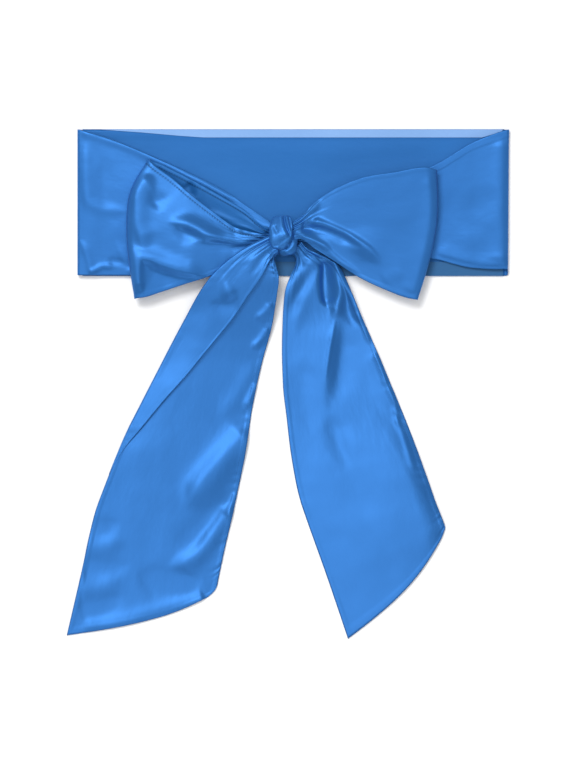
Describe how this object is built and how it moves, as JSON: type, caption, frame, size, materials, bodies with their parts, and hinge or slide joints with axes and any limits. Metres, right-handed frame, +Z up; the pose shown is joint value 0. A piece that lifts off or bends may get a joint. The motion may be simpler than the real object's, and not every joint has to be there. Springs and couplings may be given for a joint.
{
  "type": "satin sash",
  "caption": "Long satin sash laid flat: a band folded over on itself, knotted at the middle, with bow loops and slant-cut tails.",
  "frame": {"origin": "middle of the laid-out sash, on the surface it lies on", "axes": "+Z up from the surface, +Y from the tails' ends towards the band's upper edge, +X along the band to the right as seen from above"},
  "size_m": [0.4553, 0.5245, 0.0328],
  "materials": {
    "satin_face": "glossy satin, soft anisotropic sheen",
    "satin_reverse": "duller reverse side of the satin",
    "satin_hem": "turned satin hem that catches the light"
  },
  "bodies": {
    "root": {"band_back": "satin_reverse", "band_top_hem": "satin_hem", "band_bottom_hem": "satin_hem", "band_left": "satin_face", "band_right": "satin_face", "loop_left_back": "satin_reverse", "loop_left_front": "satin_face", "loop_right_back": "satin_reverse", "loop_right_front": "satin_face", "knot_core": "satin_face", "knot_wrap": "satin_face", "knot_under": "satin_face", "tail_left": "satin_face", "tail_left_turn": "satin_face", "tail_right": "satin_face"}
  },
  "joints": []
}
